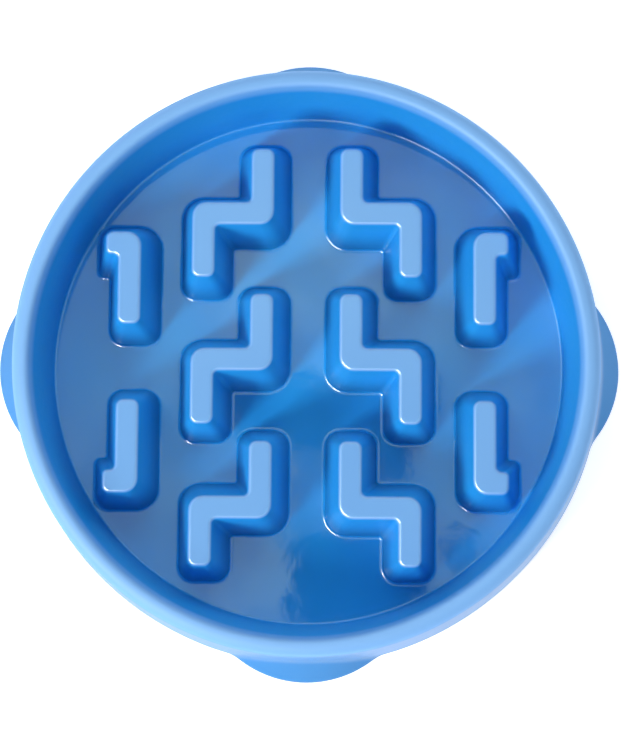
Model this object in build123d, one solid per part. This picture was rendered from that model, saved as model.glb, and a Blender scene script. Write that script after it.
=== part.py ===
from build123d import *
from math import cos, radians, sqrt, tan
import os

# Slow feeder bowl: one moulded shell with hollow maze ridges, standing on four push-in rubber pads.
# Origin on the table at the bowl's axis, +X right, +Y to the back, +Z up.
# Lengths in millimetres, angles in degrees.

# Well and rim
bowl_height = 38.0  # table to rim crest
mouth_diameter = 178.8  # inside of the rim at its crest
floor_z = 6.2  # table to floor
wall_lean = 6.1  # inner wall, out from upright
rim_width = 6.0  # between mouth and outside, before rounding
wall = 2.2  # moulded thickness throughout
rim_inner_round_share = 0.3  # of the rim width
rim_outer_round_share = 0.66
floor_round = 0.9  # foot of the inner wall
slot_round_share = 0.4  # of the width of the slot under the rim

# Skirt and feet
skirt_flare = 3.8  # lower edge beyond the rim
foot_reach = 6.3  # foot tip beyond the skirt's lower edge
foot_radius = 37.0  # plan radius of a foot
foot_slope = 24.0  # foot side, in from upright
foot_blend = 12.0  # hollow round between foot and skirt
arch_rise = 4.0  # relief of the skirt's edge between feet
arch_half_angle = 26.0  # half of the span of one arch, about the axis
foot_angles = (0, 90, 180, 270)
arch_angles = (45, 135, 225, 315)

# Maze ridges
ridge_height = 22.7
ridge_width = 7.5  # flat top, before rounding
ridge_draft = 12.0  # side, in from upright
hook_wall_gap = 0.4  # bare floor between a hook's foot and the wall's rounding
leg_wall_gap = 0.6  # the same for the front outer legs

# Corners of the ridges, as shares of their width
elbow_share = 0.7
end_share = 0.24
inner_share = 0.21
tip_share = 0.36
lug_share = 0.25
top_round_share = 0.14
hook_reach_share = 0.54

# Maze layout, as shares of the floor radius
bar_shares = (0.574, 0.01, -0.554)
inner_leg_share = 0.171
outer_leg_share = 0.398
inner_leg_end_share = 0.252
hook_near_share = 0.145
hook_far_share = 0.502

# Rubber pads
pad_proud = 1.0  # below the shell's lower edge
pad_depth = 4.2  # inside the foot
pad_length_share = 1.16  # of the foot's radius
pad_clearance = 0.15
pad_corner = 2.5
pad_sole_edge = 0.5
groove_width = 1.2
groove_depth = 0.8
groove_shares = (0.25, 0.5, 0.75)  # of the pad's width, from its inner side
peg_diameter = 3.4
peg_length = 5.0
peg_spacing = 24.0
boss_wall = 1.4
peg_tip_gap = 0.5

# Levels
base_z = pad_proud
pad_top_z = base_z + pad_depth
under_z = floor_z - wall
ridge_top_z = floor_z + ridge_height

# Radii from the axis
mouth_r = mouth_diameter / 2
floor_r = mouth_r - (bowl_height - floor_z) * tan(radians(wall_lean))
rim_r = mouth_r + rim_width
skirt_r = rim_r + skirt_flare
skirt_lean = skirt_flare / (bowl_height - base_z)
foot_centre = skirt_r + foot_reach - foot_radius
wall_across = wall / cos(radians(wall_lean))
foot_wall_across = wall / cos(radians(foot_slope))
foot_taper = tan(radians(foot_slope))
foot_top = (foot_reach + wall) / (foot_taper - skirt_lean)


def wall_outside(z):
    """Radius of the inner wall's hidden face at height z."""
    return floor_r + (z - floor_z) * tan(radians(wall_lean)) + wall_across


def skirt_inside(z):
    """Radius of the skirt's hidden face at height z."""
    return skirt_r - (z - base_z) * skirt_lean - wall


def turned(points, radii):
    """Body of revolution about Z from points (radius, height) with one rounding each."""
    section = make_face(FilletPolyline(*points, radius=radii, close=True))
    return Rot(0, 0, arch_angles[0]) * revolve(Plane.XZ * section, Axis.Z)


def foot_cone(inset, low, high):
    """Cone of one foot, drawn in by an inset, between two heights, on +X."""
    low_r = foot_radius - inset - (low - base_z) * foot_taper
    high_r = foot_radius - inset - (high - base_z) * foot_taper
    rise = high - low
    return Pos(foot_centre, 0, low + rise / 2) * Rot(0, 0, 180) * Cone(low_r, high_r, rise)


def around(angles, shape):
    """The shape, drawn on +X, turned to each angle."""
    return [Rot(0, 0, angle) * shape for angle in angles]


# Outer form: skirt and rim as one turned body, with the four feet growing out of it
form = turned(
    [(0, base_z), (skirt_r, base_z), (rim_r, bowl_height), (0, bowl_height)],
    [0, 0, rim_outer_round_share * rim_width, 0],
)
for foot in around(foot_angles, foot_cone(0, base_z, base_z + foot_top)):
    joined = form + foot
    seams = new_edges(form, foot, combined=joined)
    seams = seams.filter_by(lambda edge: edge.bounding_box().max.Z > base_z + wall)
    form = fillet(seams, foot_blend)

# Well: sunk from the crest, with its lip and the foot of its wall rounded
well = turned(
    [(0, floor_z), (floor_r, floor_z), (mouth_r, bowl_height), (0, bowl_height)],
    [0, floor_round, 0, 0],
)
shell = form - well
crest_edges = shell.edges().filter_by(GeomType.CIRCLE)
lip = crest_edges.filter_by(lambda edge: abs(edge.radius - mouth_r) < wall / 2)
shell = fillet(lip.sort_by(Axis.Z)[-1], rim_inner_round_share * rim_width)

# Maze: two columns of three zig-zags, and two hooks on each side
draft = radians(ridge_draft)
spread = ridge_height * tan(draft)
half_width = ridge_width / 2
core_inset = wall / cos(draft)
flat_r = floor_r - floor_round / tan(radians(90 + wall_lean) / 2)
end_round = end_share * ridge_width
tip_round = tip_share * ridge_width

bars_y = [share * floor_r for share in bar_shares]
inner_leg_x = inner_leg_share * floor_r
outer_leg_x = outer_leg_share * floor_r
inner_leg_end = inner_leg_end_share * floor_r

# Front outer legs stop short of the wall, and every zig-zag takes the same leg
leg_corner_x = outer_leg_x + half_width + spread - end_round
leg_corner_y = sqrt((flat_r - leg_wall_gap - end_round) ** 2 - leg_corner_x**2)
outer_leg_end = bars_y[-1] + leg_corner_y + end_round - spread

# Hooks stand as far out as the wall lets their tips
hook_near = hook_near_share * floor_r
hook_far = hook_far_share * floor_r
hook_corner_y = hook_far + spread - tip_round
hook_corner_x = sqrt((flat_r - hook_wall_gap - tip_round) ** 2 - hook_corner_y**2)
hook_tip_x = hook_corner_x + tip_round - spread
hook_x = hook_tip_x - hook_reach_share * ridge_width - half_width


def zigzag(bar_y):
    """Outline of a right-hand zig-zag's top about its bar, grown outwards, as a function."""

    def grown(grow):
        half = half_width + grow
        back = bar_y + inner_leg_end + grow
        front = bar_y - outer_leg_end - grow
        return [
            (inner_leg_x + half, back),
            (inner_leg_x - half, back),
            (inner_leg_x - half, bar_y - half),
            (outer_leg_x - half, bar_y - half),
            (outer_leg_x - half, front),
            (outer_leg_x + half, front),
            (outer_leg_x + half, bar_y + half),
            (inner_leg_x + half, bar_y + half),
        ]

    return grown


def hook(grow):
    """Outline of the back right-hand hook's top, grown outwards."""
    half = half_width + grow
    tip_near = hook_far - ridge_width - grow
    return [
        (hook_x - half, hook_near - grow),
        (hook_x + half, hook_near - grow),
        (hook_x + half, tip_near),
        (hook_tip_x + grow, tip_near),
        (hook_tip_x + grow, hook_far + grow),
        (hook_x - half, hook_far + grow),
    ]


zigzag_shares = (end_share, end_share, elbow_share, inner_share) * 2
hook_shares = (end_share, end_share, inner_share, lug_share, tip_share, elbow_share)


def drafted(outline, radii, inset, low, high):
    """Drafted body between two heights, drawn in by an inset, with its upright corners rounded."""
    layers = []
    for z in (low, high):
        grow = (ridge_top_z - z) * tan(draft) - inset
        layers.append([Vector(x, y, z) for x, y in outline(grow)])
    foot, crown = layers
    sides = [Face(Wire.make_polygon(layer)) for layer in layers]
    for i in range(len(foot)):
        sides.append(Face(Wire.make_polygon([foot[i - 1], foot[i], crown[i], crown[i - 1]])))
    body = Part() + Solid(Shell(sides))
    for corner, radius in enumerate(radii):
        if radius > 0:
            middle = (foot[corner] + crown[corner]) / 2
            body = fillet(body.edges().sort_by_distance(middle)[0], radius)
    return body


def ridge(outline, shares):
    """Outside of one ridge, let into the floor, with its top edge rounded."""
    radii = [share * ridge_width for share in shares]
    body = drafted(outline, radii, 0, floor_z - wall / 2, ridge_top_z)
    crown = body.faces().sort_by(Axis.Z)[-1]
    return fillet(crown.edges(), top_round_share * ridge_width)


def core(outline, shares):
    """Hollow of one ridge, open below the floor, with the wall kept round the elbows."""
    radii = [max(share * ridge_width - core_inset, 0) for share in shares]
    return drafted(outline, radii, core_inset, under_z - wall / 2, ridge_top_z - wall)


def maze(maker):
    """All ten ridges or hollows: the right-hand half and its mirror."""
    right = [maker(zigzag(bar_y), zigzag_shares) for bar_y in bars_y]
    back_hook = maker(hook, hook_shares)
    right += [back_hook, mirror(back_hook, about=Plane.XZ)]
    return right + [mirror(shape, about=Plane.YZ) for shape in right]


shell = shell + maze(ridge)

# Underside: floor recess, slot between wall and skirt, foot pockets and ridge hollows
ring_r = wall_outside(base_z) - wall
recess = Pos(0, 0, (base_z + under_z) / 2) * Cylinder(ring_r, under_z - base_z)
slot_top = bowl_height - wall
slot_round = slot_round_share * (skirt_inside(slot_top) - wall_outside(slot_top))
slot = turned(
    [
        (wall_outside(base_z), base_z),
        (skirt_inside(base_z), base_z),
        (skirt_inside(slot_top), slot_top),
        (wall_outside(slot_top), slot_top),
    ],
    [0, 0, slot_round, slot_round],
)
kept_inside = turned(
    [(0, base_z), (wall_outside(base_z), base_z), (wall_outside(slot_top), slot_top), (0, slot_top)],
    [0, 0, 0, 0],
)
pocket = foot_cone(foot_wall_across, base_z, base_z + foot_top) - kept_inside
shell = shell - [recess, slot] - around(foot_angles, pocket) - maze(core)

# Bosses that take the pads' pegs, standing against the skirt inside each foot
bore_r = peg_diameter / 2 + pad_clearance
boss_r = bore_r + boss_wall
boss_ring = skirt_inside(base_z) - boss_r + wall / 2
boss_x = sqrt(boss_ring**2 - (peg_spacing / 2) ** 2)
bore_depth = peg_length + peg_tip_gap
boss_height = bore_depth + wall


def pair(radius, low, rise):
    """Two upright pins on the peg centres of one foot, on +X."""
    pin = Cylinder(radius, rise)
    return [Pos(boss_x, side * peg_spacing / 2, low + rise / 2) * pin for side in (-1, 1)]


for boss in pair(boss_r, pad_top_z, boss_height):
    shell = shell + around(foot_angles, boss)
for bore in pair(bore_r, pad_top_z, bore_depth):
    shell = shell - around(foot_angles, bore)

# Arches that lift the skirt's edge clear of the table between the feet
arch_half = skirt_r * tan(radians(arch_half_angle)) * cos(radians(arch_half_angle))
arch_r = (arch_half**2 + arch_rise**2) / (2 * arch_rise)
arch_inside = wall_outside(base_z) + wall / 2
arch_width = skirt_r + foot_reach - arch_inside
arch = Pos(arch_inside + arch_width / 2, 0, base_z + arch_rise - arch_r) * Rot(0, 90, 0) * Cylinder(
    arch_r, arch_width
)
shell = shell - around(arch_angles, arch)

# Pad: the pocket's own shape with clearance, rounded corners, two pegs and a grooved sole
pad_inside = wall_outside(pad_top_z) + pad_clearance
pad_length = pad_length_share * foot_radius
pad = foot_cone(foot_wall_across + pad_clearance, 0, pad_top_z)
pad = pad - Pos(0, 0, pad_top_z / 2) * Cylinder(pad_inside, 2 * pad_top_z)
pad = pad & Pos(foot_centre + foot_radius, 0, pad_top_z / 2) * Box(2 * foot_radius, pad_length, pad_top_z)
uprights = pad.edges().filter_by(lambda edge: edge.bounding_box().size.Z > pad_depth)
pad = fillet(uprights, pad_corner)
sole = pad.faces().sort_by(Axis.Z)[0]
pad = chamfer(sole.edges(), pad_sole_edge)
pad_across = foot_centre + foot_radius - foot_wall_across - pad_inside
for share in groove_shares:
    groove_r = pad_inside + share * pad_across
    outer = Cylinder(groove_r + groove_width / 2, 2 * groove_depth)
    pad = pad - (outer - Cylinder(groove_r - groove_width / 2, 2 * groove_depth))
for peg in pair(peg_diameter / 2, pad_top_z - pad_proud, peg_length + pad_proud):
    pad = pad + peg

os.makedirs("parts", exist_ok=True)
export_step(shell, "parts/bowl_shell.step")
pads = around(foot_angles, pad)
for name, shape in zip(("right", "back", "left", "front"), pads):
    export_step(shape, f"parts/{name}_foot_pad.step")
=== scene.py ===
"""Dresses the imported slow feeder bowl: its moulded skin, its rubber pads and a plain studio."""

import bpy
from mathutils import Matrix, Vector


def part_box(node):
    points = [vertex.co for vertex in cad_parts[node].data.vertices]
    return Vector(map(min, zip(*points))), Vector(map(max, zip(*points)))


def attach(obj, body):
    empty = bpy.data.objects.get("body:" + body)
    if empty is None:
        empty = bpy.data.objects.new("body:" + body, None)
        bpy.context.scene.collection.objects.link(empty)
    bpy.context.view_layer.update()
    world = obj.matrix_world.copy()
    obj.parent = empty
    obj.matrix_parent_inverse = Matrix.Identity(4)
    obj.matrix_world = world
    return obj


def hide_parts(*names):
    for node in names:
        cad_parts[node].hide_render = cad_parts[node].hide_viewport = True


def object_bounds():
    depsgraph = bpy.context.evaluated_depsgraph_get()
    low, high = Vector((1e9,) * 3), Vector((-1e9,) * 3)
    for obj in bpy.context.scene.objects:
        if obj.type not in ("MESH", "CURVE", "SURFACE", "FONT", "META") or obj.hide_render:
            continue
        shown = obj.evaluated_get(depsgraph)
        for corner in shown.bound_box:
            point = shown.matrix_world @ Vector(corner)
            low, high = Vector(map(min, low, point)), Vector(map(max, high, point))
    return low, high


bl_info = {
    "name": "Slow Feeder Bowl",
    "version": (1, 0, 0),
    "blender": (4, 5, 0),
    "location": "View3D > Sidebar > Bowl",
    "description": "A moulded maze bowl on rubber pads, in a plain studio",
    "category": "Mesh",
}

from math import atan, cos, pi, radians, sin, sqrt, tan
from typing import NamedTuple

import bmesh
import bpy
from mathutils import Matrix, Vector

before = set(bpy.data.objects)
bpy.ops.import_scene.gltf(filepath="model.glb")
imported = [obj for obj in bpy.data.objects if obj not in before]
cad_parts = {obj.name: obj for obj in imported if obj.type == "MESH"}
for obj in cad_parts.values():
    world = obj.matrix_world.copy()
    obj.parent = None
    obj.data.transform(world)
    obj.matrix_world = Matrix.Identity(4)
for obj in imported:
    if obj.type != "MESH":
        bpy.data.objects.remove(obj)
cad_low, cad_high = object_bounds()
shell_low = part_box("bowl_shell")[0]

MM = 0.001
WHITE = (1.0, 1.0, 1.0)
BLACK = (0.0, 0.0, 0.0)
PHOTO_HEIGHT = 750  # pixels
PADS = ("front_foot_pad", "back_foot_pad", "left_foot_pad", "right_foot_pad")
FEET = 4

# Fineness of the meshes: steps of a stretch, or sides of a round piece
ARC_STEPS = 7
RIM_STEPS = 9
LIP_STEPS = 14
CREST_STEPS = 3
WALL_STEPS = 6
SKIRT_STEPS = 24
CORNER_STEPS = 6
RIDGE_STEPS = 5
BOSS_STEPS = 3
BOSS_SIDES = 32
DOME_SIDES = 32

# Narrow strip that keeps a flat face flat beside a rounding
SUPPORT = 0.15 * MM

# Points of the skirt's lower edge: share of the wall in from a face, and lift in edge rounds
EDGE_POINTS = ((0.07, 0.3), (0.22, 0.0))


# Properties

def length(name, text, millimetres):
    """A length property, given in millimetres and kept in metres."""
    return bpy.props.FloatProperty(
        name=name, description=text, default=millimetres * MM, unit="LENGTH", precision=5
    )


def angle(name, text, degrees):
    """An angle property, given in degrees."""
    return bpy.props.FloatProperty(
        name=name, description=text, default=radians(degrees), subtype="ANGLE", unit="ROTATION"
    )


def share(name, text, value):
    """A property that is a share of something."""
    return bpy.props.FloatProperty(name=name, description=text, default=value, subtype="FACTOR")


def number(name, text, value):
    """A plain number property."""
    return bpy.props.FloatProperty(name=name, description=text, default=value)


def pixels(name, text, value):
    """A property measured in the photograph's pixels."""
    return bpy.props.FloatProperty(name=name, description=text, default=value, subtype="PIXEL")


def count(name, text, value):
    """A whole number property."""
    return bpy.props.IntProperty(name=name, description=text, default=value, min=1)


def from_screen(level):
    """Linear value of one 0 to 255 screen level."""
    part = level / 255
    return part / 12.92 if part <= 0.04045 else ((part + 0.055) / 1.055) ** 2.4


def colour(name, text, red, green, blue):
    """A colour property, given in screen levels and kept linear."""
    return bpy.props.FloatVectorProperty(
        name=name,
        description=text,
        default=(from_screen(red), from_screen(green), from_screen(blue)),
        size=3,
        min=0.0,
        max=1.0,
        subtype="COLOR",
    )


class BowlSizes(bpy.types.PropertyGroup):
    """Sizes of the shell, without its maze."""

    height: length("Height", "Table to rim crest", (cad_high.z - cad_low.z) / MM)
    mouth: length("Mouth", "Inside diameter of the rim at its crest", 178.8)
    well: length("Well", "Rim crest to floor", 31.8)
    wall_lean: angle("Wall lean", "Inner wall, out from upright", 6.1)
    rim: length("Rim", "Width of the rim between mouth and outside", 6.0)
    wall: length("Wall", "Moulded thickness", 2.2)
    lip_width: length("Lip width", "Rounding of the mouth's edge, across the rim", 2.2)
    lip_depth: length("Lip depth", "Rounding of the mouth's edge, down the wall", 5.0)
    rim_outer_round: length("Outer rim round", "Rounding of the rim's outer edge", 3.96)
    floor_round: length("Floor round", "Rounding at the foot of the inner wall", 0.9)
    slot_round: length("Slot round", "Rounding of the hidden slot under the rim", 0.8)
    flare: length("Skirt flare", "Lower edge of the skirt beyond the rim", 3.8)
    base: length("Base", "Lower edge of the feet above the table", shell_low.z / MM)
    foot_reach: length("Foot reach", "Tip of a foot beyond the skirt's lower edge", 6.3)
    foot_radius: length("Foot radius", "Plan radius of a foot", 37.0)
    foot_slope: angle("Foot slope", "Side of a foot, in from upright", 24.0)
    foot_blend: length("Foot blend", "Softness of the line where a foot leaves the skirt", 1.3)
    arch_rise: length("Arch rise", "Relief of the skirt's edge between feet", 4.0)
    arch_span: angle("Arch span", "Half of one arch's span about the axis", 26.0)
    edge_round: length("Edge round", "Rounding of the lower edges", 0.5)
    sides: count("Sides", "Segments round the bowl", 384)


class MazeSizes(bpy.types.PropertyGroup):
    """Sizes and places of the maze ridges."""

    height: length("Height", "Floor to ridge top", 22.7)
    width: length("Width", "Ridge top before rounding", 7.5)
    draft: angle("Draft", "Ridge side, in from upright", 12.0)
    top_round: length("Top round", "Rounding of the top edge", 1.5)
    foot_round: length("Foot round", "Rounding where a ridge leaves the floor", 1.4)
    elbow_round: length("Elbow round", "Outer corner of a bend", 4.8)
    end_round: length("End round", "Corners of a leg's end", 2.6)
    inner_round: length("Inner round", "Inner corner of a bend", 1.6)
    tip_round: length("Tip round", "Far corner of a hook's tip", 2.5)
    lug_round: length("Lug round", "Near corner of a hook's tip", 1.9)
    corner_growth: share("Corner growth", "Share of the draft's spread added to a corner", 0.5)
    bar_back: length("Back bar", "Back row of bars, from the axis", 49.37)
    bar_middle: length("Middle bar", "Middle row of bars, from the axis", 0.86)
    bar_front: length("Front bar", "Front row of bars, from the axis", -47.65)
    inner_leg: length("Inner leg", "Legs next to the centre channel, from the axis", 14.71)
    outer_leg: length("Outer leg", "Legs next to the hooks, from the axis", 34.23)
    inner_end: length("Inner leg end", "End of an inner leg, from its bar", 21.67)
    outer_end: length("Outer leg end", "End of an outer leg, from its bar", 21.26)
    front_end: length("Front leg end", "End of a front outer leg, from its bar", 19.2)
    hook: length("Hook", "Leg of a hook, from the axis", 58.54)
    hook_tip: length("Hook tip", "Outer side of a hook's tip, from the axis", 66.34)
    hook_near: length("Hook near end", "Near end of a hook, from the axis", 12.47)
    hook_far: length("Hook far end", "Far end of a hook, from the axis", 43.17)


class BossSizes(bpy.types.PropertyGroup):
    """Sizes of the bosses in the feet that take the pads' pegs."""

    base: length("Base", "Lower end above the table", 5.2)
    height: length("Height", "Lower end to top", 7.7)
    radius: length("Radius", "Outside of a boss", 3.25)
    bore: length("Bore", "Radius of the hole for a peg", 1.85)
    depth: length("Depth", "Depth of the hole", 5.5)
    spacing: length("Spacing", "Between the two bosses of a foot", 24.0)
    edge_round: length("Edge round", "Rounding of the edges", 0.3)


class FinishColours(bpy.types.PropertyGroup):
    """Colours of the materials."""

    plastic: colour("Plastic", "Polished inside of the bowl", 38, 158, 233)
    # Painted shade: a darker copy of the plastic's blue for the satin skirt, feet and underside
    satin: colour("Satin", "Satin skirt and feet", 27, 128, 200)
    # Pale blues of the ridge tops and the rim: partly their buffed and satin finish, partly painted
    # light where these faces look up
    tops: colour("Ridge tops", "Buffed tops of the ridges", 113, 172, 236)
    rim: colour("Rim", "Satin crest of the rim", 122, 180, 241)
    sheen: colour("Sheen", "Tint of the reflections", 240, 246, 255)
    rubber: colour("Rubber", "Foot pads", 92, 98, 106)
    table: colour("Table", "Studio floor", 246, 247, 250)


class PlasticGloss(bpy.types.PropertyGroup):
    """How the plastic shines and how its blue changes, from zone to zone."""

    side: share("Side roughness", "Walls and ridge sides", 0.35)
    side_uneven: share("Side unevenness", "Change of roughness over the sides", 0.1)
    side_level: share("Side reflections", "Strength of the sides' reflections", 0.2)
    floor: share("Floor roughness", "Polished floor", 0.03)
    floor_uneven: share("Floor unevenness", "Change of roughness over the floor", 0.03)
    floor_index: number("Floor index", "Refractive index of the polished floor", 1.58)
    foot: share("Foot roughness", "Rounding at the foot of the wall", 0.34)
    foot_polish: share("Foot polish", "Roughness taken off at the feet of the ridges", 0.2)
    foot_index: number("Foot index", "Refractive index of the roundings at the floor", 1.8)
    edge: share("Edge roughness", "Rounded top edges of the ridges", 0.32)
    edge_index: number("Edge index", "Refractive index of the top edges", 1.9)
    top: share("Top roughness", "Buffed flats of the ridge tops", 0.12)
    top_uneven: share("Top unevenness", "Change of roughness over the flats", 0.08)
    top_index: number("Top index", "Refractive index of the flats", 1.5)
    satin: share("Satin roughness", "Skirt and lip", 0.28)
    satin_matt: share("Matt rise", "Roughness added on the rim's crest and the feet", 0.24)
    satin_uneven: share("Satin unevenness", "Change of roughness over the satin", 0.1)
    satin_index: number("Satin index", "Refractive index of the satin", 1.42)
    pigment: share("Pigment", "Strength of the cloudy pigment", 0.15)
    pigment_deep: share("Deep pigment", "Brightness of the pigment in the deep blue", 0.6)
    pigment_pale: share("Pale pigment", "Brightness of the pigment in the pale blue", 0.8)
    # Painted shade: how far the blue is darkened towards black low down between the ridges
    shade: share("Shade", "Darkening low down between the ridges", 0.32)
    # Painted highlight: how much of the rim's pale colour is laid on the lip
    lip: share("Lip", "Share of the rim's colour on the lip", 0.8)


class RubberGloss(bpy.types.PropertyGroup):
    """How the rubber of the pads shines."""

    roughness: share("Roughness", "Smoothest rubber", 0.68)
    uneven: share("Unevenness", "Change of roughness over the rubber", 0.18)
    index: number("Index", "Refractive index of the rubber", 1.52)
    bloom: share("Bloom", "Brightness of the rubber's darker patches", 0.85)


class StudioSizes(bpy.types.PropertyGroup):
    """Camera, table and light."""

    distance: length("Distance", "Camera to the middle of the mouth", 686.8)
    aim: length("Aim", "Height of the point that the camera turns about", 36.5)
    pitch: angle("Pitch", "Camera towards the front, from overhead", 6.13)
    yaw: angle("Yaw", "Camera towards the right, from overhead", 1.56)
    roll: angle("Roll", "Camera about its own axis", 0.29)
    focal: pixels("Focal length", "Focal length of the camera", 2120.0)
    centre_x: pixels("Centre across", "Optical axis right of the picture's middle", -5.2)
    centre_y: pixels("Centre down", "Optical axis below the picture's middle", -15.8)
    near: length("Near", "Nearest distance that the camera shows", 10)
    table_size: length("Table", "Side of the studio floor", 8000)
    table_roughness: share("Table roughness", "Matt studio floor", 0.9)
    table_tone: share("Table tone", "Brightness of the floor's darker patches", 0.99)
    table_glow: share("Table glow", "The studio floor's own light", 0.6)
    dome_radius: length("Backdrop", "Radius of the backdrop", 6000)
    dome_glow: share("Backdrop glow", "The backdrop's own light", 0.95)
    card_size: length("Card", "Side of the card that reflections see", 1800)
    card_height: length("Card height", "Card above the table", 1300)
    lamp_distance: length("Lamp distance", "Lamps from the middle of the table", 1800)
    daylight: share("Daylight", "Even light from all round", 0.1)


# Mesh building

class Skin:
    """Rings of points joined into one closed mesh."""

    def __init__(self):
        self.mesh = bmesh.new()

    def ring(self, points):
        """Vertices at the points, in order round the ring."""
        return [self.mesh.verts.new(point) for point in points]

    def sleeve(self, rows):
        """Rings through the rows of points, joined in turn. Gives the first and last ring."""
        rings = [self.ring(row) for row in rows]
        for low, high in zip(rings, rings[1:]):
            for k in range(len(low)):
                self.mesh.faces.new((low[k - 1], low[k], high[k], high[k - 1]))
        return rings[0], rings[-1]

    def lid(self, ring):
        """One flat face inside a ring."""
        self.mesh.faces.new(ring)

    def plate(self, rings):
        """A flat sheet inside the first ring, with the other rings as holes."""
        edges = []
        for ring in rings:
            edges += [self.mesh.edges.get((ring[k - 1], ring[k])) for k in range(len(ring))]
        bmesh.ops.triangle_fill(self.mesh, use_beauty=True, edges=edges)

    def done(self, name):
        """The finished object, smooth and facing outwards."""
        bmesh.ops.recalc_face_normals(self.mesh, faces=self.mesh.faces)
        data = bpy.data.meshes.new(name)
        self.mesh.to_mesh(data)
        self.mesh.free()
        data.shade_smooth()
        piece = bpy.data.objects.new(name, data)
        bpy.context.scene.collection.objects.link(piece)
        return piece


def arc(centre, radius, start, end, steps):
    """Points of an arc in a section, from one angle to another."""
    points = []
    for k in range(steps + 1):
        turn = start + (end - start) * k / steps
        points.append((centre[0] + radius * cos(turn), centre[1] + radius * sin(turn)))
    return points


def between(start, end, steps):
    """Inner points of a straight run in a section."""
    shares = [k / steps for k in range(1, steps)]
    return [(start[0] + (end[0] - start[0]) * t, start[1] + (end[1] - start[1]) * t) for t in shares]


def bend(start, corner, end, steps):
    """Points of a curve in a section that leaves its start towards a corner and ends coming from it."""
    first, middle, last = Vector(start), Vector(corner), Vector(end)
    points = []
    for k in range(steps + 1):
        t = k / steps
        points.append(first.lerp(middle, t).lerp(middle.lerp(last, t), t).to_tuple())
    return points


def soft_max(one, two, width):
    """The larger of two values, with a rounded change over the width."""
    near = max(width - abs(one - two), 0) / width
    return max(one, two) + near * near * width / 4


def round_off(radius, lean):
    """Setback of a rounding's centre from a corner between a level and a leaning face."""
    return radius * (1 - sin(lean)) / cos(lean)


# Bowl shell

class ShellForm:
    """Radii and heights of the shell round its axis."""

    def __init__(self, sizes):
        self.sizes = sizes
        self.mouth_r = sizes.mouth / 2
        self.floor_z = sizes.height - sizes.well
        self.under_z = self.floor_z - sizes.wall
        self.floor_r = self.mouth_r - sizes.well * tan(sizes.wall_lean)
        self.rim_r = self.mouth_r + sizes.rim
        self.skirt_r = self.rim_r + sizes.flare
        self.skirt_lean = atan(sizes.flare / (sizes.height - sizes.base))
        self.foot_centre = self.skirt_r + sizes.foot_reach - sizes.foot_radius
        self.slot_z = sizes.height - sizes.wall
        arch_half = self.skirt_r * sin(sizes.arch_span)
        self.arch_r = (arch_half**2 + sizes.arch_rise**2) / (2 * sizes.arch_rise)

    def wall_outside(self, z):
        """Radius of the inner wall's hidden face."""
        run = (z - self.floor_z) * tan(self.sizes.wall_lean)
        return self.floor_r + run + self.sizes.wall / cos(self.sizes.wall_lean)

    def off_foot(self, turn):
        """Angle from the nearest foot."""
        pitch = 2 * pi / FEET
        return (turn + pitch / 2) % pitch - pitch / 2

    def skirt(self, turn, z, inset, foot_inset, blend):
        """Radius of the skirt and its feet, drawn in by the insets."""
        rise = z - self.sizes.base
        plain = self.skirt_r - inset - rise * tan(self.skirt_lean)
        radius = self.sizes.foot_radius - foot_inset - rise * tan(self.sizes.foot_slope)
        across = self.foot_centre * sin(self.off_foot(turn))
        if radius <= abs(across):
            return plain
        foot = self.foot_centre * cos(self.off_foot(turn)) + sqrt(radius**2 - across**2)
        return soft_max(plain, foot, blend)

    def outside(self, turn, z):
        """Radius of the skirt's outer face."""
        return self.skirt(turn, z, 0, 0, self.sizes.foot_blend)

    def inside(self, turn, z):
        """Radius of the skirt's hidden face, with the pockets in the feet."""
        wall = self.sizes.wall
        return self.skirt(turn, z, wall, wall / cos(self.sizes.foot_slope), self.sizes.edge_round)

    def edge(self, turn):
        """Height of the skirt's lower edge."""
        sizes = self.sizes
        across = self.skirt_r * sin(pi / FEET - abs(self.off_foot(turn)))
        arch = sizes.arch_rise - self.arch_r + sqrt(self.arch_r**2 - across**2)
        return sizes.base + soft_max(arch, 0, sizes.edge_round)


def fixed(points):
    """Rows that are the same all round."""
    return [lambda turn, point=point: point for point in points]


def skirt_row(form, face, share_up, top):
    """Row of a skirt face, a share of the way up from its lower edge to the top."""

    def row(turn):
        start = form.edge(turn) + form.sizes.edge_round
        z = start + (top - start) * share_up
        return face(turn, z), z

    return row


def edge_row(form, share_in, lift):
    """Row of the skirt's lower edge, a share of the way in from the outer face to the hidden one."""

    def row(turn):
        z = form.edge(turn)
        outer = form.outside(turn, z + form.sizes.edge_round)
        inner = form.inside(turn, z + form.sizes.edge_round)
        return outer + (inner - outer) * share_in, z + lift

    return row


def edge_rows(form):
    """Rows of the skirt's rounded lower edge, from its hidden face to its outer one."""
    inner = [(1 - share_in, lift) for share_in, lift in EDGE_POINTS]
    both = inner + list(reversed(EDGE_POINTS))
    return [edge_row(form, share_in, lift * form.sizes.edge_round) for share_in, lift in both]


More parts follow.
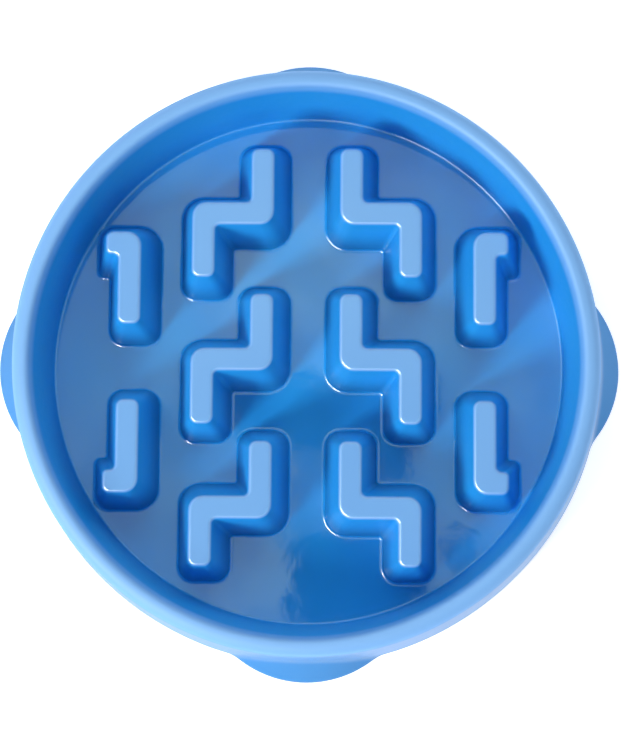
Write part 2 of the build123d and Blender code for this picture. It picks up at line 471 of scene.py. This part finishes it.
def upper_rows(form):
    """Rows from the skirt's lower edge over the rim and down the wall to the floor."""
    sizes, lean, out = form.sizes, form.sizes.wall_lean, form.skirt_lean
    rim_z = sizes.height - sizes.rim_outer_round
    skirt_top = rim_z + sizes.rim_outer_round * sin(out)
    rows = [skirt_row(form, form.outside, k / SKIRT_STEPS, skirt_top) for k in range(SKIRT_STEPS)]
    outer = form.rim_r - round_off(sizes.rim_outer_round, out)
    over = arc((outer, rim_z), sizes.rim_outer_round, out, pi / 2, RIM_STEPS)
    crest = (form.mouth_r + sizes.lip_width, sizes.height)
    corner = (form.mouth_r, sizes.height)
    lip_foot = (form.mouth_r - sizes.lip_depth * tan(lean), sizes.height - sizes.lip_depth)
    lip = bend(crest, corner, lip_foot, LIP_STEPS)
    foot_r = form.floor_r - round_off(sizes.floor_round, lean)
    foot_z = form.floor_z + sizes.floor_round
    foot = arc((foot_r, foot_z), sizes.floor_round, -lean, -pi / 2, ARC_STEPS)
    points = over + between(over[-1], lip[0], CREST_STEPS) + lip
    points += between(lip[-1], foot[0], WALL_STEPS) + foot
    points.append((foot_r - SUPPORT, form.floor_z))
    return rows + fixed(points)


def lower_rows(form):
    """Rows from the floor's underside round its ring, up the slot and down to the skirt's edge."""
    sizes, lean, out = form.sizes, form.sizes.wall_lean, form.skirt_lean
    small, slot = sizes.edge_round, sizes.slot_round
    ring_out = form.wall_outside(sizes.base)
    ring_in = ring_out - sizes.wall
    points = [(ring_in - small - SUPPORT, form.under_z)]
    points += arc((ring_in - small, form.under_z - small), small, pi / 2, 0, ARC_STEPS)
    points += arc((ring_in + small, sizes.base + small), small, pi, 1.5 * pi, ARC_STEPS)
    points += arc((ring_out - small, sizes.base + small), small, -pi / 2, 0, ARC_STEPS)
    slot_in = form.wall_outside(form.slot_z) + round_off(slot, lean)
    up = arc((slot_in, form.slot_z - slot), slot, pi - lean, pi / 2, ARC_STEPS)
    skirt_in = form.rim_r + sizes.wall * tan(out) - sizes.wall
    slot_out = skirt_in - round_off(slot, out)
    down = arc((slot_out, form.slot_z - slot), slot, pi / 2, out, ARC_STEPS)
    points += between(points[-1], up[0], WALL_STEPS) + up + down
    top = form.slot_z - slot + slot * sin(out)
    steps = [1 - k / SKIRT_STEPS for k in range(1, SKIRT_STEPS + 1)]
    rows = fixed(points) + [skirt_row(form, form.inside, step, top) for step in steps]
    return rows + edge_rows(form)


def turned(form, row):
    """Points of a row round the axis."""
    points = []
    for k in range(form.sizes.sides):
        turn = 2 * pi * k / form.sizes.sides
        radius, z = row(turn)
        points.append((radius * cos(turn), radius * sin(turn), z))
    return points


# Maze ridges

class Ridge:
    """One ridge: its outline at any growth, the roundings of its corners and its side of the bowl."""

    def __init__(self, maze, corners, rounds, inner, steady, place):
        self.maze = maze
        self.corners = corners
        self.rounds = rounds
        self.inner = inner
        self.steady = steady
        self.side, self.end = place

    def rounding(self, k, grow, spread):
        """Radius of a corner, whose draft adds to it unless it is an inner or a steady one."""
        extra = grow - spread
        if k in self.inner:
            return self.rounds[k] - extra
        if k in self.steady:
            return self.rounds[k] + extra
        return self.rounds[k] + self.maze.corner_growth * spread + extra

    def row(self, grow, spread, z, least):
        """Points of the outline grown by a length, where the draft alone would give the spread."""
        places = [Vector(place) for place in self.corners(grow)]
        points = []
        for k, corner in enumerate(places):
            before = (places[k - 1] - corner).normalized()
            after = (places[(k + 1) % len(places)] - corner).normalized()
            radius = max(self.rounding(k, grow, spread), least)
            centre = corner + (before + after) * radius
            for step in range(CORNER_STEPS + 1):
                turn = pi / 2 * step / CORNER_STEPS
                points.append(centre - (after * cos(turn) + before * sin(turn)) * radius)
        return [(self.side * point.x, self.end * point.y, z) for point in points]


def zigzag(maze, bar, outer_end, side):
    """A zig-zag about its bar, on the right for a side of 1 and on the left for -1."""

    def corners(grow):
        half = maze.width / 2 + grow
        back = bar + maze.inner_end + grow
        front = bar - outer_end - grow
        return [
            (maze.inner_leg + half, back),
            (maze.inner_leg - half, back),
            (maze.inner_leg - half, bar - half),
            (maze.outer_leg - half, bar - half),
            (maze.outer_leg - half, front),
            (maze.outer_leg + half, front),
            (maze.outer_leg + half, bar + half),
            (maze.inner_leg + half, bar + half),
        ]

    rounds = (maze.end_round, maze.end_round, maze.elbow_round, maze.inner_round) * 2
    return Ridge(maze, corners, rounds, inner={3, 7}, steady=set(), place=(side, 1))


def hook(maze, side, end):
    """A hook beside the wall, at the back for an end of 1 and at the front for -1."""

    def corners(grow):
        half = maze.width / 2 + grow
        lug = maze.hook_far - maze.width - grow
        return [
            (maze.hook - half, maze.hook_near - grow),
            (maze.hook + half, maze.hook_near - grow),
            (maze.hook + half, lug),
            (maze.hook_tip + grow, lug),
            (maze.hook_tip + grow, maze.hook_far + grow),
            (maze.hook - half, maze.hook_far + grow),
        ]

    rounds = (
        maze.end_round,
        maze.end_round,
        maze.inner_round,
        maze.lug_round,
        maze.tip_round,
        maze.elbow_round,
    )
    return Ridge(maze, corners, rounds, inner={2}, steady={3}, place=(side, end))


def all_ridges(maze):
    """Both columns of zig-zags and the hooks of both sides."""
    ridges = []
    for side in (1, -1):
        ridges.append(zigzag(maze, maze.bar_back, maze.outer_end, side))
        ridges.append(zigzag(maze, maze.bar_middle, maze.outer_end, side))
        ridges.append(zigzag(maze, maze.bar_front, maze.front_end, side))
        ridges += [hook(maze, side, end) for end in (1, -1)]
    return ridges


def add_section(skin, ridge, form, section, least):
    """A face round one ridge through a section, closed at its top. Gives its lowest ring."""
    maze = ridge.maze
    top = form.floor_z + maze.height
    rows = [ridge.row(grow, (top - z) * tan(maze.draft), z, least) for grow, z in section]
    low, high = skin.sleeve(rows)
    skin.lid(high)
    return low


def add_ridge(skin, ridge, form):
    """The outside of one ridge. Gives the ring where it meets the floor."""
    maze = ridge.maze
    top = form.floor_z + maze.height
    foot_out = maze.height * tan(maze.draft) + round_off(maze.foot_round, maze.draft)
    foot_z = form.floor_z + maze.foot_round
    foot = arc((foot_out, foot_z), maze.foot_round, 1.5 * pi, pi + maze.draft, ARC_STEPS)
    top_in = -round_off(maze.top_round, maze.draft)
    crown = arc((top_in, top - maze.top_round), maze.top_round, maze.draft, pi / 2, ARC_STEPS)
    section = [(foot_out + SUPPORT, form.floor_z)]
    section += foot + between(foot[-1], crown[0], RIDGE_STEPS) + crown
    section.append((top_in - SUPPORT, top))
    return add_section(skin, ridge, form, section, SUPPORT)


def add_core(skin, ridge, form):
    """The hollow under one ridge. Gives the ring where it opens below the floor."""
    maze, wall, small = ridge.maze, form.sizes.wall, form.sizes.edge_round
    top = form.floor_z + maze.height
    ceiling = top - wall

    def inner(z):
        return (top - z) * tan(maze.draft) - wall / cos(maze.draft)

    mouth = inner(form.under_z) + round_off(small, maze.draft)
    lip = arc((mouth, form.under_z + small), small, 1.5 * pi, pi + maze.draft, ARC_STEPS)
    roof = (inner(ceiling) - round_off(small, maze.draft), ceiling - small)
    crown = arc(roof, small, maze.draft, pi / 2, ARC_STEPS)
    section = [(mouth + SUPPORT, form.under_z)]
    section += lip + between(lip[-1], crown[0], RIDGE_STEPS) + crown
    return add_section(skin, ridge, form, section, small)


def build_shell(bowl, maze):
    """The whole moulding as one closed mesh."""
    form = ShellForm(bowl)
    skin = Skin()
    rows = [turned(form, row) for row in lower_rows(form) + upper_rows(form)]
    under, floor = skin.sleeve(rows)
    ridges = all_ridges(maze)
    skin.plate([floor] + [add_ridge(skin, ridge, form) for ridge in ridges])
    skin.plate([under] + [add_core(skin, ridge, form) for ridge in ridges])
    return skin.done("bowl_skin")


# Bosses for the pads' pegs

def add_boss(skin, boss, place):
    """One boss with its blind hole, about an upright line through a place."""
    small, top = boss.edge_round, boss.base + boss.height
    roof = (boss.bore - small, boss.base + boss.depth - small)
    section = arc(roof, small, pi / 2, 0, BOSS_STEPS)
    section += arc((boss.bore + small, boss.base + small), small, pi, 1.5 * pi, BOSS_STEPS)
    section += arc((boss.radius - small, boss.base + small), small, -pi / 2, 0, BOSS_STEPS)
    section += arc((boss.radius - small, top - small), small, 0, pi / 2, BOSS_STEPS)
    turns = [2 * pi * k / BOSS_SIDES for k in range(BOSS_SIDES)]
    rows = []
    for radius, z in section:
        rows.append([place + Vector((radius * cos(turn), radius * sin(turn), z)) for turn in turns])
    for end in skin.sleeve(rows):
        skin.lid(end)


def build_bosses(bowl, boss):
    """Two bosses in each foot, standing against the skirt."""
    form = ShellForm(bowl)
    ring = form.skirt_r - bowl.wall / 2 - boss.radius
    across = boss.spacing / 2
    out = sqrt(ring**2 - across**2)
    skin = Skin()
    for foot in range(FEET):
        turn = Matrix.Rotation(2 * pi * foot / FEET, 3, "Z")
        for side in (-across, across):
            add_boss(skin, boss, turn @ Vector((out, side, 0)))
    return skin.done("foot_bosses")


# Finishes

class Value:
    """A shader socket that takes part in sums and products."""

    def __init__(self, finish, socket):
        self.finish = finish
        self.socket = socket

    def __add__(self, other):
        return self.finish.math("ADD", self, other)

    def __radd__(self, other):
        return self.finish.math("ADD", other, self)

    def __sub__(self, other):
        return self.finish.math("SUBTRACT", self, other)

    def __rsub__(self, other):
        return self.finish.math("SUBTRACT", other, self)

    def __mul__(self, other):
        return self.finish.math("MULTIPLY", self, other)

    def __rmul__(self, other):
        return self.finish.math("MULTIPLY", other, self)

    def __truediv__(self, other):
        return self.finish.math("DIVIDE", self, other)

    def __rtruediv__(self, other):
        return self.finish.math("DIVIDE", other, self)

    def __pow__(self, other):
        return self.finish.math("POWER", self, other)


class Texture(NamedTuple):
    """Noise over a surface: how fine and busy it is, and how deep and strong its bump is."""

    scale: float
    detail: float
    roughness: float = 0.5
    depth: float = 0.0
    strength: float = 1.0


NOISE_MIDDLE = 0.5
PIGMENT = Texture(24.0, 3.0)
RIPPLE = Texture(70.0, 1.0, depth=0.2 * MM, strength=0.3)
PEEL = Texture(520.0, 2.0, depth=0.02 * MM, strength=0.3)
PEBBLES = Texture(800.0, 1.0, depth=0.1 * MM, strength=0.6)
GRAIN = Texture(6500.0, 3.0, roughness=0.6, depth=0.03 * MM, strength=0.4)
RUBBER_GRAIN = Texture(2600.0, 4.0, roughness=0.6, depth=0.06 * MM, strength=0.5)
RUBBER_BLOOM = Texture(60.0, 3.0)
TABLE_TONE = Texture(3.0, 2.0)
CARD_CLOUD = Texture(14.0, 3.0, roughness=0.55)


class Finish:
    """A node material under construction."""

    def __init__(self, name):
        self.material = bpy.data.materials.new(name)
        self.material.use_nodes = True
        self.tree = self.material.node_tree
        self.tree.nodes.clear()

    def node(self, kind, settings=None, inputs=None):
        """A node of a kind, with its settings made first and then its sockets filled or linked."""
        made = self.tree.nodes.new(kind)
        for name, setting in (settings or {}).items():
            setattr(made, name, setting)
        sockets = {socket.identifier: socket for socket in made.inputs}
        for name, given in (inputs or {}).items():
            self.feed(sockets[name], given)
        return made

    def feed(self, socket, given):
        """Fills a socket with a value, or links it."""
        if isinstance(given, Value):
            self.tree.links.new(given.socket, socket)
        else:
            socket.default_value = given

    def value(self, kind, output, settings=None, inputs=None):
        """One output of a new node."""
        return Value(self, self.node(kind, settings, inputs).outputs[output])

    def math(self, operation, one, two):
        """A Math node on two values."""
        inputs = {"Value": one, "Value_001": two}
        return self.value("ShaderNodeMath", "Value", {"operation": operation}, inputs)

    def parts(self, vector):
        """The three parts of a vector."""
        split = self.node("ShaderNodeSeparateXYZ", None, {"Vector": vector})
        return [Value(self, socket) for socket in split.outputs]

    def step(self, value, band, start=0.0, size=1.0):
        """A soft step from 0 to 1 over a band, given in shares of a size from a start."""
        low, high = band
        settings = {"interpolation_type": "SMOOTHSTEP"}
        inputs = {"Value": value, "From Min": start + low * size, "From Max": start + high * size}
        return self.value("ShaderNodeMapRange", "Result", settings, inputs)

    def noise(self, place, texture):
        """A texture's noise, about NOISE_MIDDLE."""
        inputs = {
            "Vector": place,
            "Scale": texture.scale,
            "Detail": texture.detail,
            "Roughness": texture.roughness,
        }
        return self.value("ShaderNodeTexNoise", 0, None, inputs)

    def bump(self, height, texture, under=None):
        """A normal raised by a height as a texture says, over another normal if one is given."""
        inputs = {"Height": height, "Distance": texture.depth, "Strength": texture.strength}
        if under is not None:
            inputs["Normal"] = under
        return self.value("ShaderNodeBump", "Normal", None, inputs)

    def mix(self, factor, one, two):
        """A colour between two colours."""
        settings = {"data_type": "RGBA"}
        inputs = {"Factor_Float": factor, "A_Color": one, "B_Color": two}
        return self.value("ShaderNodeMix", 2, settings, inputs)

    def surface(self, **sockets):
        """A surface shader with the sockets named, underscores standing for spaces."""
        inputs = {name.replace("_", " "): given for name, given in sockets.items()}
        return self.value("ShaderNodeBsdfPrincipled", 0, None, inputs)

    def blend(self, factor, one, two):
        """One surface changing to another."""
        inputs = {"Fac": factor, "Shader": one, "Shader_001": two}
        return self.value("ShaderNodeMixShader", 0, None, inputs)

    def done(self, surface):
        """The material, ending in a surface."""
        self.node("ShaderNodeOutputMaterial", None, {"Surface": surface})
        return self.material


def solid(rgb):
    """A colour socket's value."""
    return (*rgb, 1.0)


def shade(rgb, factor):
    """A colour made darker or lighter."""
    return solid([factor * level for level in rgb])


def either(first, *others):
    """A mask of the places that lie in any of the masks."""
    clear = 1 - first
    for mask in others:
        clear = clear * (1 - mask)
    return 1 - clear


# Bands over which the plastic changes, each in shares of the size beside it
OUTSIDE = (0.05, 0.6)  # wall thickness, past the inner wall
MAZE_EDGE = (-2.0, -1.0)  # wall thickness, past the inner wall
FEET_EDGE = (0.1, 0.6)  # wall thickness, past the skirt
UNDERSIDE = (0.0, 0.5)  # wall thickness, above the floor's underside
CREST = (0.7, 0.95)  # bowl height, above the table
LIP = (-1.1, -0.3)  # lip depth, above the crest
LOW_SIDES = (0.0, 0.7)  # ridge height, above the floor
HIGH_SIDES = (0.5, 1.0)  # ridge height, above the floor
TOPS = (-1.5, -0.4)  # top round, above the ridge tops

# Bands of tilt, from 0 on an upright face to 1 on a level one
CREST_TILT = (0.0, 0.5)
ROUND_TILT = (0.25, 0.6)
TOP_TILT = (0.3, 0.85)
SHADE_TILT = (0.3, 0.9)
FLAT_TILT = (0.93, 0.995)
FLOOR_TILT = (0.95, 0.995)


class PlasticZones:
    """Masks of the bowl's zones, from the place and the tilt of its surface."""

    def __init__(self, finish, place, bowl, maze, lip_highlight_share):
        form = ShellForm(bowl)
        x, y, z = finish.parts(place)
        up = finish.parts(finish.value("ShaderNodeNewGeometry", "Normal"))[2]
        radius = (x * x + y * y) ** 0.5
        past_wall = radius - (form.floor_r + (z - form.floor_z) * tan(bowl.wall_lean))
        past_skirt = radius - (form.skirt_r - (z - bowl.base) * tan(form.skirt_lean))
        outside = finish.step(past_wall, OUTSIDE, size=bowl.wall)
        below = 1 - finish.step(z, UNDERSIDE, form.under_z, bowl.wall)
        crest = outside * finish.step(z, CREST, size=bowl.height) * finish.step(up, CREST_TILT)
        feet = finish.step(past_skirt, FEET_EDGE, size=bowl.wall)
        lip = (1 - outside) * finish.step(z, LIP, bowl.height, bowl.lip_depth)
        tops = finish.step(z, TOPS, form.floor_z + maze.height, maze.top_round)
        low = 1 - finish.step(z, LOW_SIDES, form.floor_z, maze.height)
        steep = 1 - finish.step(up, SHADE_TILT)
        self.maze = 1 - finish.step(past_wall, MAZE_EDGE, size=bowl.wall)
        # Painted shade: steep faces low down among the ridges, darkened in the colour
        self.painted_shade = low * steep * self.maze
        # Outside and underside: satin, and painted darker as shade
        self.dull_and_shaded = either(outside, below)
        self.satin = either(self.dull_and_shaded, lip)
        self.matt = either(crest, feet)
        # Pale blue: partly the finish of the tops and crest, partly painted light on up-facing faces;
        # painted highlight on the lip
        self.pale = either(crest, tops * finish.step(up, TOP_TILT), lip_highlight_share * lip)
        self.flat_tops = tops * finish.step(up, FLAT_TILT)
        self.high = finish.step(z, HIGH_SIDES, form.floor_z, maze.height)
        self.rounded = finish.step(up, ROUND_TILT)
        self.level = finish.step(up, FLOOR_TILT)


def plastic_blue(finish, place, zones, colours, gloss):
    """The deep blue of the well, painted shade low between the ridges, a darker blue painted as shade on
    the outside, and the pale blue of the ridge tops, rim and lip: partly their finish, partly painted
    light where they face up, with a painted highlight on the lip.
    """
    pigment = gloss.pigment * finish.noise(place, PIGMENT)
    # Painted shade: the outside and the underside take the darker blue
    deep = finish.mix(zones.dull_and_shaded, solid(colours.plastic), solid(colours.satin))
    # Painted shade low down between the ridges
    deep = finish.mix(gloss.shade * zones.painted_shade, deep, solid(BLACK))
    deep = finish.mix(pigment, deep, shade(colours.plastic, gloss.pigment_deep))
    # Pale blue, partly painted light on the up-facing tops and crest
    pale = finish.mix(zones.satin, solid(colours.tops), solid(colours.rim))
    pale = finish.mix(pigment, pale, shade(colours.tops, gloss.pigment_pale))
    return finish.mix(zones.pale, deep, pale)


def plastic_finish(colours, gloss, bowl, maze):
    """Blue plastic: polished in the well, buffed on the ridge tops, satin on the rim and the outside."""
    finish = Finish("bowl_plastic")
    place = finish.value("ShaderNodeTexCoord", "Object")
    zones = PlasticZones(finish, place, bowl, maze, gloss.lip)
    blue = plastic_blue(finish, place, zones, colours, gloss)
    shared = {"Base_Color": blue, "Specular_Tint": solid(colours.sheen)}
    peel = finish.noise(place, PEEL)
    grain = finish.noise(place, GRAIN)
    wavy = finish.bump(finish.noise(place, RIPPLE), RIPPLE)
    smooth = finish.bump(peel, PEEL, wavy)
    pebbled = finish.bump(finish.noise(place, PEBBLES), PEBBLES, wavy)
    frosted = finish.bump(grain, GRAIN, smooth)
    sides = finish.surface(
        Roughness=gloss.side + gloss.side_uneven * peel,
        Normal=smooth,
        Specular_IOR_Level=gloss.side_level,
        **shared,
    )
    floor = finish.surface(
        Roughness=gloss.floor + gloss.floor_uneven * peel,
        Normal=smooth,
        IOR=gloss.floor_index,
        **shared,
    )
    foot = finish.surface(
        Roughness=gloss.foot - gloss.foot_polish * zones.maze,
        Normal=pebbled,
        IOR=gloss.foot_index,
        **shared,
    )
    edge = finish.surface(Roughness=gloss.edge, Normal=smooth, IOR=gloss.edge_index, **shared)
    top = finish.surface(
        Roughness=gloss.top + gloss.top_uneven * grain,
        Normal=smooth,
        IOR=gloss.top_index,
        **shared,
    )
    satin = finish.surface(
        Roughness=gloss.satin + gloss.satin_matt * zones.matt + gloss.satin_uneven * grain,
        Normal=frosted,
        IOR=gloss.satin_index,
        **shared,
    )
    roundings = finish.blend(zones.high, foot, edge)
    level = finish.blend(zones.level, roundings, floor)
    inside = finish.blend(zones.rounded, sides, level)
    inside = finish.blend(zones.flat_tops, inside, top)
    return finish.done(finish.blend(zones.satin, inside, satin))


def rubber_finish(colours, gloss):
    """Matt grey rubber with a moulded grain."""
    finish = Finish("pad_rubber")
    place = finish.value("ShaderNodeTexCoord", "Object")
    grain = finish.noise(place, RUBBER_GRAIN)
    bloom = finish.noise(place, RUBBER_BLOOM)
    rubber = finish.surface(
        Base_Color=finish.mix(bloom, shade(colours.rubber, gloss.bloom), solid(colours.rubber)),
        Roughness=gloss.roughness + gloss.uneven * grain,
        Normal=finish.bump(grain, RUBBER_GRAIN),
        IOR=gloss.index,
    )
    return finish.done(rubber)


def table_finish(colours, studio):
    """A plain pale floor."""
    finish = Finish("studio_floor")
    tone = finish.noise(finish.value("ShaderNodeTexCoord", "Object"), TABLE_TONE)
    table = finish.surface(
        Base_Color=finish.mix(tone, shade(colours.table, studio.table_tone), solid(colours.table)),
        Roughness=studio.table_roughness,
        Emission_Color=solid(colours.table),
        Emission_Strength=studio.table_glow,
    )
    return finish.done(table)


def backdrop_finish(colours, studio):
    """An even pale glow."""
    finish = Finish("studio_backdrop")
    glow = finish.surface(
        Base_Color=solid(BLACK),
        Emission_Color=solid(colours.table),
        Emission_Strength=studio.dome_glow,
        Specular_IOR_Level=0.0,
    )
    return finish.done(glow)


class Patch(NamedTuple):
    """A lighter or darker patch of the card: millimetres, softness of its edge, and gain of light."""

    across: float
    back: float
    half_width: float
    half_depth: float
    softness: float
    gain: float


CARD_PATCHES = (
    Patch(-42, 233, 120, 85, 0.8, 0.7),
    Patch(-80, -61, 36, 38, 0.3, 0.55),
    Patch(-12, 91, 95, 36, 0.1, -0.95),
    Patch(-33, 11, 19, 50, 0.3, -0.5),
    Patch(48, 44, 18, 22, 0.1, -0.9),
    Patch(17, -66, 68, 46, 0.05, -1.0),
    Patch(111, -38, 19, 19, 0.15, -0.8),
)
CARD_TINT = (0.86, 1.02, 0.6)
CARD_LIGHT = 1.45
CARD_UNEVEN = 2.2
PATCH_UNEVEN = 0.7
PATCH_SQUARENESS = 4


def card_finish():
    """Uneven ceiling light with lighter and darker patches, seen only in reflections."""
    finish = Finish("reflection_card")
    place = finish.value("ShaderNodeTexCoord", "Object")
    x, y, _ = finish.parts(place)
    cloud = finish.noise(place, CARD_CLOUD) - NOISE_MIDDLE
    light = CARD_LIGHT + CARD_UNEVEN * cloud
    for patch in CARD_PATCHES:
        across = (x - patch.across * MM) / (patch.half_width * MM)
        back = (y - patch.back * MM) / (patch.half_depth * MM)
        reach = (across**PATCH_SQUARENESS + back**PATCH_SQUARENESS) ** (1 / PATCH_SQUARENESS)
        edge = (1 - patch.softness, 1 + patch.softness)
        beyond = finish.step(reach + PATCH_UNEVEN * cloud, edge)
        light = light * (1 + patch.gain * (1 - beyond))
    red, green, blue = [tint * light for tint in CARD_TINT]
    glow = finish.value("ShaderNodeCombineXYZ", 0, None, {"X": red, "Y": green, "Z": blue})
    card = finish.surface(
        Base_Color=solid(BLACK),
        Emission_Color=glow,
        Emission_Strength=1.0,
        Specular_IOR_Level=0.0,
    )
    return finish.done(card)


# Stage

class Lamp(NamedTuple):
    """A soft lamp: degrees about the axis and above the table, metres, watts, and what sees it."""

    name: str
    bearing: float
    rise: float
    width: float
    height: float
    power: float
    only_reflected: bool = False


LAMPS = (
    Lamp("key_lamp", 220, 36, 0.45, 0.45, 16.0),
    Lamp("low_key_lamp", 220, 25, 0.45, 0.35, 8.0),
    Lamp("window", 220, 42, 1.3, 0.45, 70.0, only_reflected=True),
    Lamp("front_wall", 270, 30, 2.0, 1.0, 8.5),
    Lamp("back_wall", 90, 45, 2.0, 1.0, 10.0),
    Lamp("back_left_wall", 140, 35, 1.0, 1.0, 4.0),
    Lamp("right_wall", 0, 30, 2.0, 1.0, 4.5),
    Lamp("far_right_wall", 45, 10, 1.5, 0.5, 5.0),
    Lamp("ceiling", 0, 90, 1.2, 1.2, 3.0),
)


def add_lamp(lamp, distance):
    """A lamp at a distance, facing the bowl, that either lights it or is only reflected in it."""
    light = bpy.data.lights.new(lamp.name, "AREA")
    light.shape = "RECTANGLE"
    light.size = lamp.width
    light.size_y = lamp.height
    light.energy = lamp.power
    holder = bpy.data.objects.new(lamp.name, light)
    bearing, rise = radians(lamp.bearing), radians(lamp.rise)
    towards = Vector((cos(rise) * cos(bearing), cos(rise) * sin(bearing), sin(rise)))
    holder.location = distance * towards
    holder.rotation_euler = towards.to_track_quat("Z", "Y").to_euler()
    holder.visible_glossy = lamp.only_reflected
    holder.visible_diffuse = not lamp.only_reflected
    bpy.context.scene.collection.objects.link(holder)


def add_camera(studio):
    """The photograph's camera."""
    turn = Matrix.Rotation(-studio.roll, 3, "Z")
    turn = turn @ Matrix.Rotation(-studio.yaw, 3, "Y") @ Matrix.Rotation(-studio.pitch, 3, "X")
    camera = bpy.data.cameras.new("photo_camera")
    camera.sensor_fit = "AUTO"
    camera.clip_start = studio.near
    camera.lens = studio.focal * camera.sensor_width / PHOTO_HEIGHT
    camera.shift_x = -studio.centre_x / PHOTO_HEIGHT
    camera.shift_y = studio.centre_y / PHOTO_HEIGHT
    viewer = bpy.data.objects.new("photo_camera", camera)
    viewer.matrix_world = turn.transposed().to_4x4()
    aim = Vector((0, 0, studio.aim))
    viewer.location = aim + turn.transposed() @ Vector((0, 0, studio.distance))
    bpy.context.scene.collection.objects.link(viewer)
    bpy.context.scene.camera = viewer


def add_stage_piece(name, mesh, material):
    """A piece of the studio from a finished mesh."""
    data = bpy.data.meshes.new(name)
    mesh.to_mesh(data)
    mesh.free()
    data.materials.append(material)
    piece = bpy.data.objects.new(name, data)
    bpy.context.scene.collection.objects.link(piece)
    return piece


def add_sheet(name, size, material):
    """A level square that is part of the studio."""
    mesh = bmesh.new()
    bmesh.ops.create_grid(mesh, x_segments=1, y_segments=1, size=size / 2)
    return add_stage_piece(name, mesh, material)


def add_card(studio):
    """A card over the bowl, seen only in reflections."""
    card = add_sheet("reflection_card", studio.card_size, card_finish())
    card.location.z = studio.card_height
    card.visible_camera = False
    card.visible_diffuse = False
    card.visible_shadow = False


def add_backdrop(colours, studio):
    """A pale dome round the table, seen by the camera and in reflections."""
    mesh = bmesh.new()
    bmesh.ops.create_uvsphere(
        mesh, u_segments=DOME_SIDES, v_segments=DOME_SIDES // 2, radius=studio.dome_radius
    )
    dome = add_stage_piece("studio_backdrop", mesh, backdrop_finish(colours, studio))
    dome.visible_diffuse = False
    dome.visible_shadow = False


def add_world(studio):
    """Even white light from all round."""
    world = bpy.data.worlds.new("studio")
    world.use_nodes = True
    background = world.node_tree.nodes["Background"]
    background.inputs["Color"].default_value = solid(WHITE)
    background.inputs["Strength"].default_value = studio.daylight
    bpy.context.scene.world = world


# Operators

def mould(piece, plastic):
    """Makes a piece part of the plastic moulding."""
    piece.data.materials.append(plastic)
    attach(piece, "root")


class BOWL_OT_shell(bpy.types.Operator):
    """Makes the plastic and builds the moulded bowl"""

    bl_idname = "bowl.shell"
    bl_label = "Bowl shell"

    def execute(self, context):
        scene = context.scene
        bowl, maze = scene.bowl_sizes, scene.maze_sizes
        plastic = plastic_finish(scene.finish_colours, scene.plastic_gloss, bowl, maze)
        shell = build_shell(bowl, maze)
        mould(shell, plastic)
        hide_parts("bowl_shell")
        return {"FINISHED"}


class BOWL_OT_bosses(bpy.types.Operator):
    """Builds the bosses inside the feet, in the shell's plastic"""

    bl_idname = "bowl.bosses"
    bl_label = "Foot bosses"

    def execute(self, context):
        scene = context.scene
        plastic = bpy.data.objects["bowl_skin"].active_material
        mould(build_bosses(scene.bowl_sizes, scene.boss_sizes), plastic)
        return {"FINISHED"}


class BOWL_OT_pads(bpy.types.Operator):
    """Gives the foot pads their rubber"""

    bl_idname = "bowl.pads"
    bl_label = "Foot pads"

    def execute(self, context):
        scene = context.scene
        rubber = rubber_finish(scene.finish_colours, scene.rubber_gloss)
        for name in PADS:
            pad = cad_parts[name]
            pad.data.materials.clear()
            pad.data.materials.append(rubber)
        return {"FINISHED"}


class BOWL_OT_stage(bpy.types.Operator):
    """Sets up the floor, the lamps and the photograph's camera"""

    bl_idname = "bowl.stage"
    bl_label = "Studio"

    def execute(self, context):
        scene = context.scene
        colours, studio = scene.finish_colours, scene.studio_sizes
        add_sheet("studio_floor", studio.table_size, table_finish(colours, studio))
        add_backdrop(colours, studio)
        add_card(studio)
        add_camera(studio)
        add_world(studio)
        for lamp in LAMPS:
            add_lamp(lamp, studio.lamp_distance)
        scene.view_settings.view_transform = "Standard"
        return {"FINISHED"}


OPERATORS = (BOWL_OT_shell, BOWL_OT_bosses, BOWL_OT_pads, BOWL_OT_stage)


class BOWL_PT_panel(bpy.types.Panel):
    """Lists the bowl's operators"""

    bl_idname = "BOWL_PT_panel"
    bl_label = "Slow feeder bowl"
    bl_space_type = "VIEW_3D"
    bl_region_type = "UI"
    bl_category = "Bowl"

    def draw(self, context):
        for operator in OPERATORS:
            self.layout.operator(operator.bl_idname)


GROUPS = {
    "bowl_sizes": BowlSizes,
    "maze_sizes": MazeSizes,
    "boss_sizes": BossSizes,
    "finish_colours": FinishColours,
    "plastic_gloss": PlasticGloss,
    "rubber_gloss": RubberGloss,
    "studio_sizes": StudioSizes,
}


def register():
    """Adds the properties, operators and panel."""
    for name, group in GROUPS.items():
        bpy.utils.register_class(group)
        setattr(bpy.types.Scene, name, bpy.props.PointerProperty(type=group))
    for item in (*OPERATORS, BOWL_PT_panel):
        bpy.utils.register_class(item)


def unregister():
    """Takes them away again."""
    for item in (BOWL_PT_panel, *reversed(OPERATORS)):
        bpy.utils.unregister_class(item)
    for name, group in GROUPS.items():
        delattr(bpy.types.Scene, name)
        bpy.utils.unregister_class(group)


def main():
    """Builds everything."""
    register()
    bpy.ops.bowl.shell()
    bpy.ops.bowl.bosses()
    bpy.ops.bowl.pads()
    bpy.ops.bowl.stage()


if __name__ == "__main__":
    main()
